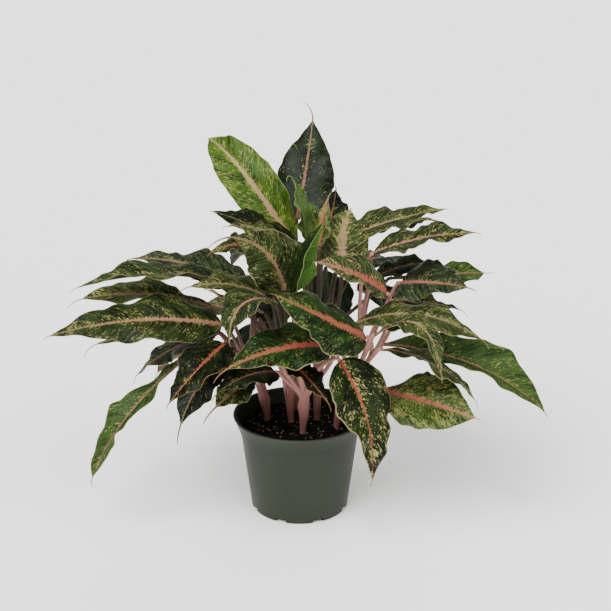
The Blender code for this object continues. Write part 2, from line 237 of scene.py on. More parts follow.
@dataclass(frozen=True)
class Skin:
    """One face of a leaf: a waxy cuticle over green tissue that is variegated along its veins.

    The cuticle gives a broad, soft highlight. The colour lies in layers: the deep green between
    the veins, fresh patches, pale side veins, specks, then the midrib's band, whose edges run
    out in teeth along the side veins, and a thin pale margin.
    """

    deep: str
    fresh: str
    vein: str
    speck: str
    rib: str
    rib_tip: str
    margin: str
    patches: float = 0.4  # share of the face
    patch_size: tuple[float, float] = (16, 28)  # millimetres
    flecks: float = 0.28
    fleck_size: tuple[float, float] = (3.2, 10)
    specks: float = 0.22
    speck_size: tuple[float, float] = (1.8, 4.6)
    veins: float = 0.3  # how clearly the side veins show
    rib_width: float = 2.4  # millimetres from the middle, at the base
    teeth: float = 1.0  # how far the band runs out along the side veins
    rim: float = 0.035  # the margin's share of the half width
    gloss: float = 0.4  # roughness
    sheen: float = 0.1  # strength of the highlight

    def coat(self, name: str, seed: float) -> Material:
        """Builds the face's material.

        Args:
            name: The material's name.
            seed: Shifts the pattern, so that no two leaves are alike.

        Returns:
            The material, which reads the blade's own two UV maps.
        """
        material, tree = new_material(name)
        share_map = add_node(tree, "ShaderNodeUVMap", uv_map=SHARE_MAP)
        share = add_node(tree, "ShaderNodeSeparateXYZ", {0: share_map.outputs[0]})
        vein_map = add_node(tree, "ShaderNodeUVMap", uv_map=VEIN_MAP)
        run = vein_map.outputs[0]
        parts = add_node(tree, "ShaderNodeSeparateXYZ", {0: run})
        out = add_node(tree, "ShaderNodeMath", {0: parts.outputs[1]}, operation="ABSOLUTE").outputs[0]
        veins = self._side_veins(tree, run, seed)
        rib, flush = self._rib(tree, share.outputs[1], out, run, seed)
        crowd = self._crowding(tree, out, run, seed)
        fine_size, fine = (0.6 * self.speck_size[0], 0.55 * self.speck_size[1]), 0.7 * self.specks
        layers = (
            (blotches(tree, run, seed, self.patch_size, self.patches, FAINT), self.fresh),
            (blotches(tree, run, seed + 5, self.fleck_size, self.flecks, SOFT), self.fresh),
            (veins, self.vein),
            (blotches(tree, run, seed + 9, self.speck_size, self.specks, CRISP, crowd), self.speck),
            (blotches(tree, run, seed + 17, fine_size, fine, CRISP, crowd), self.speck),
            (rib, self.rib),
            (flush, self.rib_tip),
            (self._margin(tree, share.outputs[0], run), self.margin),
        )
        grain = add_node(tree, "ShaderNodeTexNoise", {"Vector": run, "Scale": WAX_LUMPS, "Detail": 3.0})
        wax = add_node(
            tree,
            "ShaderNodeMapRange",
            {"Value": grain.outputs[0], "To Min": self.gloss - 0.06, "To Max": self.gloss + 0.12},
        )
        height = add_node(
            tree, "ShaderNodeMath", {0: grain.outputs[0], 1: WAX_HEIGHT, 2: veins}, operation="MULTIPLY_ADD"
        )
        cuticle = {
            "Base Color": paint(tree, self.deep, layers),
            "Roughness": wax.outputs[0],
            "IOR": 1.45,
            "Specular IOR Level": self.sheen,
        }
        emboss(tree, cuticle, height.outputs[0], -0.35, 0.4 * MM)
        return material

    def _side_veins(self, tree: NodeTree, run: Socket, seed: float) -> Socket:
        """Masks the side veins, one each VEIN_SPACING along the midrib.

        Args:
            tree: The material's tree.
            run: The vein map.
            seed: Shifts the pattern.

        Returns:
            The mask, as strong as the veins show.
        """
        bands = add_node(
            tree,
            "ShaderNodeTexWave",
            {
                "Vector": run,
                "Scale": math.tau / (WAVE_RATE * VEIN_SPACING),
                "Distortion": 1.6,
                "Detail": 1.0,
                "Phase Offset": seed,
            },
            bands_direction="X",
        )
        lines = add_node(
            tree,
            "ShaderNodeMapRange",
            {"Value": bands.outputs[1], "From Min": 0.84, "From Max": 1.0, "To Max": self.veins},
            interpolation_type="SMOOTHSTEP",
        )
        return lines.outputs[0]

    def _crowding(self, tree: NodeTree, out: Socket, run: Socket, seed: float) -> Socket:
        """Gathers the specks in full and bare fields, and along the midrib.

        Args:
            tree: The material's tree.
            out: Metres from the midrib.
            run: The vein map.
            seed: Shifts the pattern.

        Returns:
            How much larger the specks are; they are smaller below 0.
        """
        wide = add_node(
            tree,
            "ShaderNodeMapping",
            {
                "Vector": run,
                "Location": (seed, 2.3 * seed, 0),
                "Scale": (1 / SPECK_FIELD[0], 1 / SPECK_FIELD[1], 1),
            },
        )
        fields = add_node(
            tree, "ShaderNodeTexNoise", {"Vector": wide.outputs[0], "Scale": 1.0, "Detail": 1.0}
        )
        bare = add_node(
            tree,
            "ShaderNodeMapRange",
            {
                "Value": fields.outputs[0],
                "From Min": 0.36,
                "From Max": 0.62,
                "To Min": -0.08,
                "To Max": 0.03,
            },
        )
        near = add_node(
            tree,
            "ShaderNodeMapRange",
            {
                "Value": out,
                "From Min": RIB_CROWD[0],
                "From Max": RIB_CROWD[1],
                "To Min": 0.07,
                "To Max": 0.0,
            },
        )
        crowd = add_node(tree, "ShaderNodeMath", {0: bare.outputs[0], 1: near.outputs[0]}, operation="ADD")
        return crowd.outputs[0]

    def _rib(
        self, tree: NodeTree, along: Socket, out: Socket, run: Socket, seed: float
    ) -> tuple[Socket, Socket]:
        """Masks the midrib's band: wide at the stalk, gone at the tip, with toothed edges.

        Args:
            tree: The material's tree.
            along: The share along the blade.
            out: Metres from the midrib.
            run: The vein map.
            seed: Shifts the teeth.

        Returns:
            The band's mask, and the part of it that has turned to the colour of the tip.
        """
        left = add_node(tree, "ShaderNodeMath", {0: 1.0, 1: along}, operation="SUBTRACT")
        taper = add_node(tree, "ShaderNodeMath", {0: left.outputs[0], 1: 0.8}, operation="POWER")
        spikes = add_node(
            tree,
            "ShaderNodeMapping",
            {"Vector": run, "Location": (seed, seed, 0), "Scale": (1 / RIB_TOOTH[0], 1 / RIB_TOOTH[1], 1)},
        )
        teeth = add_node(
            tree, "ShaderNodeTexNoise", {"Vector": spikes.outputs[0], "Scale": 1.0, "Detail": 1.0}
        )
        reach = add_node(
            tree,
            "ShaderNodeMapRange",
            {
                "Value": teeth.outputs[0],
                "From Min": 0.3,
                "From Max": 0.8,
                "To Min": (1 - 0.5 * self.teeth) * self.rib_width * MM,
                "To Max": (1 + 1.6 * self.teeth) * self.rib_width * MM,
            },
        )
        width = add_node(
            tree, "ShaderNodeMath", {0: reach.outputs[0], 1: taper.outputs[0]}, operation="MULTIPLY"
        )
        inside = add_node(tree, "ShaderNodeMath", {0: width.outputs[0], 1: out}, operation="SUBTRACT")
        band = add_node(
            tree,
            "ShaderNodeMapRange",
            {"Value": inside.outputs[0], "From Min": -0.15 * MM, "From Max": 0.35 * MM},
            interpolation_type="SMOOTHSTEP",
        )
        turned = add_node(tree, "ShaderNodeMapRange", {"Value": along, "From Min": 0.3, "From Max": 0.85})
        flush = add_node(
            tree, "ShaderNodeMath", {0: band.outputs[0], 1: turned.outputs[0]}, operation="MULTIPLY"
        )
        return band.outputs[0], flush.outputs[0]

    def _margin(self, tree: NodeTree, across: Socket, run: Socket) -> Socket:
        """Masks the margin, which is uneven in width.

        Args:
            tree: The material's tree.
            across: The share across the blade, -1 to 1.
            run: The vein map.

        Returns:
            The mask.
        """
        waver = add_node(
            tree, "ShaderNodeTexNoise", {"Vector": run, "Scale": 1 / MARGIN_LUMP, "Detail": 1.0}
        )
        away = add_node(tree, "ShaderNodeMath", {0: across}, operation="ABSOLUTE")
        pushed = add_node(
            tree,
            "ShaderNodeMath",
            {0: waver.outputs[0], 1: 1.2 * self.rim, 2: away.outputs[0]},
            operation="MULTIPLY_ADD",
        )
        line = add_node(
            tree,
            "ShaderNodeMapRange",
            {"Value": pushed.outputs[0], "From Min": 1 - 0.4 * self.rim, "From Max": 1 + 0.2 * self.rim},
            interpolation_type="SMOOTHSTEP",
        )
        return line.outputs[0]


UNDER_GREEN = Skin(
    deep="#20260F", fresh="#34381C", vein="#46462C", speck="#4E4C30", rib="#6A523E",
    rib_tip="#5E4C34", margin="#504C30", patches=0.5, specks=0.2, veins=0.35, rib_width=2.2,
    teeth=0.5, gloss=0.55,
)
# Painted shade: a near-black underside, darker than the real paler tan one, for undersides that lie in the
# plant's shade.
UNDER_PAINTED_SHADE = Skin(
    deep="#0A1206", fresh="#14220A", vein="#1C2A12", speck="#2A3A16", rib="#34441C",
    rib_tip="#34441C", margin="#4A5A28", specks=0.1, veins=0.2, rib_width=1.4, teeth=0.3,
    gloss=0.45,
)
UNDER_ROSE = Skin(
    deep="#33301C", fresh="#46402A", vein="#5E4E38", speck="#5C4E36", rib="#7A5646",
    rib_tip="#6E5440", margin="#66543A", patches=0.5, specks=0.3, veins=0.4, rib_width=2.6,
    teeth=0.7, gloss=0.55,
)


class Look(Enum):
    """How one leaf is coloured: its upper face and its underside."""

    SPRING = (
        Skin(
            deep="#192B0A", fresh="#334B11", vein="#445722", speck="#697231", rib="#8A7052",
            rib_tip="#837A50", margin="#6C743C", patches=0.5, specks=0.27, veins=0.2, rib_width=4.2,
            teeth=0.6, speck_size=(1.6, 4.2),
        ),
        UNDER_GREEN,
    )
    SHOOT = (
        Skin(
            deep="#2C4014", fresh="#42562A", vein="#4C5E30", speck="#52642F", rib="#5E6E3C",
            rib_tip="#5E6E3C", margin="#6A7448", specks=0.05, veins=0.15, rib_width=1.2, teeth=0.2,
        ),
        UNDER_GREEN,
    )
    SWORD = (
        Skin(
            deep="#2C4A12", fresh="#3E6020", vein="#4E6A2A", speck="#6A7A3A", rib="#5C6E34",
            rib_tip="#5C6E34", margin="#66743C", patches=0.5, specks=0.12, veins=0.2, rib_width=1.4,
            teeth=0.3,
        ),
        UNDER_PAINTED_SHADE,
    )
    NIGHT = (
        Skin(
            deep="#070C04", fresh="#131D0B", vein="#232B1A", speck="#66683A", rib="#70483A",
            rib_tip="#5C5238", margin="#4A4A30", patches=0.3, specks=0.02, veins=0.25,
            rib_width=2.2, teeth=0.6, gloss=0.36,
        ),
        UNDER_PAINTED_SHADE,
    )
    EMBER = (
        Skin(
            deep="#060904", fresh="#111A0A", vein="#26240F", speck="#6A6832", rib="#7E3A2E",
            rib_tip="#7A5036", margin="#6A5238", patches=0.3, specks=0.02, veins=0.25, teeth=0.8,
            sheen=0.08,
        ),
        UNDER_ROSE,
    )
    CORAL = (
        Skin(
            deep="#0A1206", fresh="#18310F", vein="#2A381A", speck="#6A6C38", rib="#8A4638",
            rib_tip="#6E4C32", margin="#7A7048", specks=0.17, rib_width=4.2, teeth=1.3,
        ),
        UNDER_ROSE,
    )
    CONFETTI = (
        Skin(
            deep="#080D04", fresh="#182609", vein="#2A3616", speck="#8A844E", rib="#863E30",
            rib_tip="#7C4034", margin="#7C7048", specks=0.17, veins=0.2, speck_size=(2.2, 4.0),
            rib_width=2.2, teeth=0.5, rim=0.05,
        ),
        UNDER_ROSE,
    )
    ROSE = (
        Skin(
            deep="#121B08", fresh="#283818", vein="#68623E", speck="#8A7850", rib="#934E40",
            rib_tip="#8C6450", margin="#786A44", patches=0.45, specks=0.17, veins=0.4,
            speck_size=(2.4, 4.6), rib_width=4.4, teeth=2.0,
        ),
        UNDER_ROSE,
    )
    CREAM = (
        Skin(
            deep="#161F09", fresh="#2E3C16", vein="#5E5C36", speck="#7E7C46", rib="#8A6E50",
            rib_tip="#7C6A46", margin="#6A6640", patches=0.45, specks=0.24, veins=0.5,
            rib_width=3.8, teeth=1.6,
        ),
        UNDER_ROSE,
    )
    JADE = (
        Skin(
            deep="#0D1508", fresh="#1F2E12", vein="#3E4226", speck="#7A7642", rib="#8A5E4C",
            rib_tip="#70583E", margin="#66603E", specks=0.15, veins=0.4, speck_size=(1.6, 4.4),
            rib_width=2.8,
        ),
        UNDER_GREEN,
    )
    DUSK = (
        Skin(
            deep="#0E150A", fresh="#1F2A18", vein="#3C4632", speck="#5A5E38", rib="#88524A",
            rib_tip="#66523A", margin="#5C583A", specks=0.2, veins=0.5, rib_width=2.8, teeth=0.8,
            gloss=0.36,
        ),
        UNDER_GREEN,
    )
    OLIVE = (
        Skin(
            deep="#121B09", fresh="#273214", vein="#46482A", speck="#6C6C3E", rib="#7C6048",
            rib_tip="#6E5E40", margin="#706A46", patches=0.45, specks=0.21, veins=0.45,
        ),
        UNDER_ROSE,
    )
    MOTTLED = (
        Skin(
            deep="#13210A", fresh="#293C14", vein="#4A522C", speck="#6C6E3A", rib="#8E4E42",
            rib_tip="#8A5C4A", margin="#746A48", patches=0.5, specks=0.38, veins=0.4,
            speck_size=(1.6, 4.2), rib_width=4.2, teeth=1.4,
        ),
        UNDER_ROSE,
    )
    MEADOW = (
        Skin(
            deep="#15270A", fresh="#2B4115", vein="#465030", speck="#6C703A", rib="#7E5A46",
            rib_tip="#7E5040", margin="#70704A", patches=0.5, specks=0.12, veins=0.35,
            rib_width=2.2, teeth=0.8,
        ),
        UNDER_ROSE,
    )


@dataclass(frozen=True)
class Rind:
    """A stem's skin: smooth, juicy and faintly ribbed, pink at its foot, paler at its edges."""

    foot: str = "#80564E"
    middle: str = "#986A62"
    top: str = "#8A6054"
    streak: str = "#AC8676"
    foot_fade: tuple[float, float] = (0.1, 0.15)  # metres above the floor, from foot to middle
    top_from: float = 0.16  # metres above the floor at which the middle begins to fade
    fade: float = 0.26  # and at which the top colour is reached
    fibres: int = 16  # round a stalk
    fibre_length: float = 60 * MM

    def coat(self, name: str) -> Material:
        """Builds the material.

        Args:
            name: The material's name.

        Returns:
            The material, which reads the stem's own UV map and Object coordinates.
        """
        material, tree = new_material(name)
        where = add_node(tree, "ShaderNodeTexCoord")
        parts = add_node(tree, "ShaderNodeSeparateXYZ", {0: where.outputs["Object"]})
        height = parts.outputs[2]
        start, end = self.foot_fade
        low = add_node(tree, "ShaderNodeMapRange", {"Value": height, "From Min": start, "From Max": end})
        high = add_node(
            tree, "ShaderNodeMapRange", {"Value": height, "From Min": self.top_from, "From Max": self.fade}
        )
        round_map = add_node(tree, "ShaderNodeUVMap", uv_map=STALK_MAP)
        scale = (self.fibres, 1 / self.fibre_length, 1)
        drawn = add_node(tree, "ShaderNodeMapping", {"Vector": round_map.outputs[0], "Scale": scale})
        fibre = add_node(
            tree, "ShaderNodeTexNoise", {"Vector": drawn.outputs[0], "Scale": 1.0, "Detail": 3.0}
        )
        streaks = add_node(
            tree,
            "ShaderNodeMapRange",
            {"Value": fibre.outputs[0], "From Min": 0.5, "From Max": 0.8, "To Max": 0.8},
        )
        layers = (
            (low.outputs[0], self.middle),
            (high.outputs[0], self.top),
            (streaks.outputs[0], self.streak),
        )
        skin = {"Base Color": paint(tree, self.foot, layers), "Roughness": 0.45, "Specular IOR Level": 0.2}
        emboss(tree, skin, fibre.outputs[0], 0.4, 0.3 * MM)
        return material


@dataclass(frozen=True)
class Moulding:
    """Injection-moulded polypropylene: satin, with a fine texture and faint flow marks."""

    lip_tone_low: float = 110.5 * MM  # the lip is lighter from here
    lip_tone_high: float = 114 * MM
    body: str = "#1F241A"
    bloom: str = "#272C20"
    lip_tone: str = "#40433A"
    flow: tuple[float, float, float] = (30, 30, 9)  # marks in a metre, so 33 mm across, 110 mm tall
    grit: float = 1400.0  # grains in a metre, so 0.7 mm each

    def coat(self, name: str) -> Material:
        """Builds the material.

        Args:
            name: The material's name.

        Returns:
            The material, which reads Object coordinates.
        """
        material, tree = new_material(name)
        where = add_node(tree, "ShaderNodeTexCoord").outputs["Object"]
        flow = add_node(tree, "ShaderNodeMapping", {"Vector": where, "Scale": self.flow})
        cloud = add_node(
            tree, "ShaderNodeTexNoise", {"Vector": flow.outputs[0], "Scale": 1.0, "Detail": 3.0}
        )
        grit = add_node(tree, "ShaderNodeTexNoise", {"Vector": where, "Scale": self.grit, "Detail": 2.0})
        parts = add_node(tree, "ShaderNodeSeparateXYZ", {0: where})
        # The colour grows lighter over the top of the rolled lip.
        lighter_lip = add_node(
            tree,
            "ShaderNodeMapRange",
            {
                "Value": parts.outputs[2],
                "From Min": self.lip_tone_low,
                "From Max": self.lip_tone_high,
                "To Max": 0.55,
            },
        )
        satin = add_node(
            tree,
            "ShaderNodeMapRange",
            {"Value": cloud.outputs[0], "From Min": 0.3, "From Max": 0.7, "To Min": 0.4, "To Max": 0.52},
        )
        layers = ((cloud.outputs[0], self.bloom), (lighter_lip.outputs[0], self.lip_tone))
        plastic = {
            "Base Color": paint(tree, self.body, layers),
            "Roughness": satin.outputs[0],
            "IOR": 1.49,
            "Specular IOR Level": 0.2,
        }
        emboss(tree, plastic, grit.outputs[0], 0.25, 0.1 * MM)
        return material


@dataclass(frozen=True)
class Crumb:
    """A loose, dry or damp stuff of one colour with lighter and darker grains."""

    dark: str
    light: str
    grain: float  # millimetres
    rough: float = 0.95

    def coat(self, name: str) -> Material:
        """Builds the material.

        Args:
            name: The material's name.

        Returns:
            The material, which reads Object coordinates.
        """
        material, tree = new_material(name)
        where = add_node(tree, "ShaderNodeTexCoord").outputs["Object"]
        cloud = add_node(
            tree,
            "ShaderNodeTexNoise",
            {"Vector": where, "Scale": 1 / (self.grain * MM), "Detail": 4.0, "Roughness": 0.65},
        )
        mask = add_node(
            tree, "ShaderNodeMapRange", {"Value": cloud.outputs[0], "From Min": 0.35, "From Max": 0.7}
        )
        colour = paint(tree, self.dark, ((mask.outputs[0], self.light),))
        crumb = {"Base Color": colour, "Roughness": self.rough, "Specular IOR Level": 0.1}
        emboss(tree, crumb, cloud.outputs[0], 0.8, 0.4 * MM)
        return material


@dataclass(frozen=True)
class Crown:
    """One cane: where it leaves the soil and where its top is, in millimetres."""

    name: str
    foot: tuple[float, float]
    top: tuple[float, float, float]

    def at(self, share: float) -> Vector:
        """Finds a point of the cane, which leans more as it rises.

        Args:
            share: How far up from the soil, 0 to 1.

        Returns:
            The point.
        """
        foot = Vector((self.foot[0] * MM, self.foot[1] * MM, SOIL_LEVEL))
        top = Vector(self.top) * MM
        flat = foot.lerp(top, share**1.5)
        return Vector((flat.x, flat.y, foot.z + (top.z - foot.z) * share))


@dataclass(frozen=True)
class Leaf:
    """One leaf. Places and sizes are in millimetres, angles in degrees.

    The midrib is a bow from base to tip. arch and sweep are its height and its swing to the
    leaf's right, as shares of its length, and crest is where along it they are greatest.
    widest is where along it the blade is at its full width.
    roll leans the upper face to the leaf's right at the base, and twist adds to it by the tip.
    fold is how far each half is raised, droop how far its margin falls again as a share of its
    width, and wave the height of the margin's waves.
    The drip tip is a tail that bends down by hook and to the right by curl.
    leave is the height on the cane, as a share, where the stalk springs from it.
    """

    crown: str
    base: tuple[float, float, float]
    tip: tuple[float, float, float]
    width: float
    look: Look
    arch: float = 0.08
    sweep: float = 0.0
    crest: float = 0.5
    widest: float = 0.35
    roll: float = 0
    twist: float = 0
    fold: float = 18
    droop: float = 0.25
    wave: float = 4
    tail: float = 14
    hook: float = 50
    curl: float = 0
    leave: float = 0.6


CROWNS = (
    Crown("a", (-37, 11), (-52, 8, 165)),
    Crown("b", (-10, 4), (-16, -2, 175)),
    Crown("c", (4, -24), (6, -40, 170)),
    Crown("d", (20, 12), (22, 12, 190)),
    Crown("e", (-5, 40), (8, 50, 185)),
    Crown("f", (42, -10), (58, -18, 170)),
)

LEAVES = (
    # The top of the plant.
    Leaf(
        "d", (-4, 28, 303), (-105, 120, 406), 58, Look.SPRING,
        0.17, -0.13, 0.6, widest=0.42, roll=-50, tail=8, fold=24,
    ),
    Leaf(
        "e", (-3, 48, 330), (15, 125, 425), 68, Look.NIGHT,
        0.0, 0.01, fold=14, tail=30, hook=-20, curl=-60,
    ),
    Leaf(
        "d", (8, 10, 318), (-5, 15, 382), 34, Look.SHOOT,
        0.03, roll=-15, fold=30, tail=24, hook=-30, curl=-150,
    ),
    Leaf("e", (28, 44, 306), (42, 98, 350), 48, Look.NIGHT, 0.04, 0.03, roll=20, twist=15),
    Leaf("d", (46, -8, 293), (57, 52, 340), 59, Look.CREAM, 0.12, -0.03, roll=15, fold=12),
    Leaf(
        "c", (-8, -58, 280), (27, -52, 357), 44, Look.SWORD,
        0.16, crest=0.4, roll=136, fold=50, wave=1, tail=6,
    ),
    Leaf("d", (2, -2, 302), (-92, -22, 360), 58, Look.NIGHT, 0.05, -0.01, roll=-20, twist=-5, tail=4),
    Leaf("b", (4, -14, 310), (-74, -56, 354), 46, Look.OLIVE, 0.08, roll=-8, tail=8),
    Leaf("b", (-16, -52, 279), (-66, -94, 353), 62, Look.OLIVE, 0.15, roll=-95, tail=34, hook=10, curl=-60),
    Leaf("b", (-35, 14, 290), (-99, 0, 305), 40, Look.CORAL, 0.22, roll=-15, tail=4, hook=80),
    # The left side.
    Leaf(
        "a", (-63, 44, 252), (-191, 66, 278), 60, Look.DUSK,
        0.07, widest=0.28, roll=-15, tail=18, hook=70, wave=5,
    ),
    Leaf("a", (-63, 8, 264), (-242, -24, 274), 64, Look.JADE, 0.08, widest=0.5, roll=3, fold=26, tail=10),
    Leaf("a", (-83, 24, 226), (-240, -4, 254), 58, Look.CREAM, 0.08, widest=0.6, roll=-8, fold=22, tail=22),
    Leaf("a", (-85, -26, 232), (-262, -88, 243), 62, Look.JADE, 0.06, roll=-30, fold=14, tail=8, wave=5),
    Leaf("a", (-95, 10, 210), (-224, -24, 208), 50, Look.MEADOW, 0.06, -0.01, tail=22, hook=60),
    Leaf("a", (-80, -56, 222), (-136, -120, 180), 58, Look.EMBER, 0.08, -0.05, roll=-15, twist=20, tail=8),
    Leaf("a", (-95, 40, 195), (-190, 45, 142), 56, Look.DUSK, 0.08, -0.01, roll=-10),
    Leaf(
        "a", (-112, -2, 196), (-231, -62, 63), 42, Look.MEADOW,
        0.08, crest=0.6, widest=0.6, twist=-12, fold=30, wave=5,
    ),
    Leaf("a", (-78, -36, 206), (-128, -84, 139), 57, Look.NIGHT, 0.08, 0.01, twist=-10, tail=24, hook=30),
    # The front.
    Leaf("c", (31, -72, 226), (-72, -140, 228), 64, Look.CORAL, 0.07, -0.01, roll=-25, tail=24, hook=70),
    Leaf("c", (-26, -54, 188), (-84, -108, 188), 48, Look.NIGHT, 0.08, 0.01, roll=-15, twist=10),
    Leaf(
        "a", (-48, -44, 179), (-88, -100, 167), 34, Look.OLIVE,
        0.03, -0.02, widest=0.55, roll=-20, tail=26, hook=60,
    ),
    Leaf("f", (72, -68, 234), (-23, -130, 304), 68, Look.CORAL, 0.0, roll=-37, twist=-10, fold=0, tail=8),
    Leaf("f", (94, -34, 271), (19, -86, 324), 48, Look.ROSE, 0.04, roll=-43, fold=30, tail=6),
    Leaf(
        "c", (43, -84, 213), (77, -146, 104), 70, Look.CONFETTI,
        0.0, -0.1, roll=10, twist=-40, tail=9, hook=10, curl=50,
    ),
    Leaf("c", (-14, -74, 212), (29, -112, 180), 36, Look.EMBER, 0.03, fold=26),
    Leaf("b", (-29, -60, 273), (-72, -114, 248), 56, Look.JADE, 0.28, 0.05, 0.6, twist=20, tail=8),
    Leaf("b", (-34, -22, 261), (-116, -48, 284), 52, Look.OLIVE, 0.1, roll=-12, tail=16, hook=40),
    Leaf("b", (-40, -34, 250), (-97, -62, 285), 32, Look.ROSE, 0.0, tail=6),
    # The right side.
    Leaf("d", (60, 42, 314), (166, 76, 334), 54, Look.OLIVE, 0.03, widest=0.3, roll=8, fold=22, tail=6),
    Leaf("f", (82, 8, 303), (190, -12, 333), 52, Look.JADE, 0.05, roll=7, twist=10, fold=22, tail=8),
    Leaf("e", (70, 78, 307), (160, 108, 311), 44, Look.JADE, 0.05, 0.01, tail=18),
    Leaf(
        "f", (112, 6, 269), (178, -60, 287), 64, Look.DUSK,
        0.03, widest=0.28, roll=28, twist=5, tail=12, hook=40,
    ),
    Leaf("f", (88, 42, 264), (166, 58, 272), 50, Look.NIGHT, 0.1),
    Leaf(
        "e", (105, 46, 261), (214, 75, 257), 42, Look.MEADOW,
        0.02, 0.01, widest=0.7, roll=20, tail=12, hook=-10,
    ),
    Leaf(
        "f", (55, -45, 238), (194, -82, 236), 60, Look.OLIVE,
        0.16, 0.03, widest=0.5, roll=15, twist=-10, fold=12,
    ),
    Leaf("f", (105, 0, 250), (178, 0, 240), 46, Look.JADE, 0.04, 0.01),
    Leaf("f", (80, -91, 246), (146, -142, 220), 40, Look.OLIVE, 0.42, -0.02, tail=8, hook=20),
    Leaf(
        "f", (95, -5, 200), (269, -60, 142), 72, Look.MEADOW,
        0.09, -0.02, 0.58, widest=0.5, roll=12, fold=33, tail=8,
    ),
    Leaf("f", (90, -66, 219), (188, -90, 170), 58, Look.OLIVE, 0.12, widest=0.5, roll=-10, tail=12),
    Leaf("f", (90, -38, 159), (188, -96, 152), 80, Look.MOTTLED, 0.03, 0.03, widest=0.42, twist=60, tail=8),
    # The back. The hanging near-black leaves here fill the plant's dark middle with painted shade.
    Leaf("e", (-22, 92, 278), (-85, 185, 230), 62, Look.JADE, 0.12),
    Leaf("e", (15, 100, 262), (30, 225, 228), 64, Look.CORAL, 0.12),
    Leaf("e", (60, 92, 252), (125, 190, 225), 62, Look.DUSK, 0.12),
    Leaf("b", (-60, 72, 205), (-165, 150, 165), 62, Look.CREAM, 0.12),
    Leaf("f", (106, 48, 198), (172, 148, 172), 56, Look.DUSK, 0.1),
    Leaf("e", (-18, 94, 238), (-38, 128, 150), 62, Look.NIGHT, 0.06, widest=0.45),
    Leaf("a", (-90, 52, 168), (-175, 114, 114), 56, Look.CORAL, 0.1),
    Leaf("f", (86, 82, 241), (102, 126, 194), 54, Look.NIGHT, 0.06, widest=0.45, tail=10),
    Leaf("b", (-48, 74, 198), (-64, 108, 122), 54, Look.NIGHT, 0.06, widest=0.45),
    Leaf("e", (31, 99, 252), (37, 127, 160), 60, Look.NIGHT, 0.06, widest=0.45, tail=10),
    # The youngest leaf, upright in the middle.
    Leaf(
        "d", (22, -10, 316), (31, 0, 368), 28, Look.MOTTLED,
        0.04, roll=-10, fold=25, tail=8, hook=-20, curl=60,
    ),
)


@dataclass(frozen=True)
class Station:
    """One place along a midrib: its point, the way on, the face's normal and its right."""

    point: Vector
    ahead: Vector
    face: Vector
    right: Vector
    half: float  # half width of the blade here, metres
    share: float  # how far along the body, 0 to 1
    whole: float  # how far along body and tail together, 0 to 1


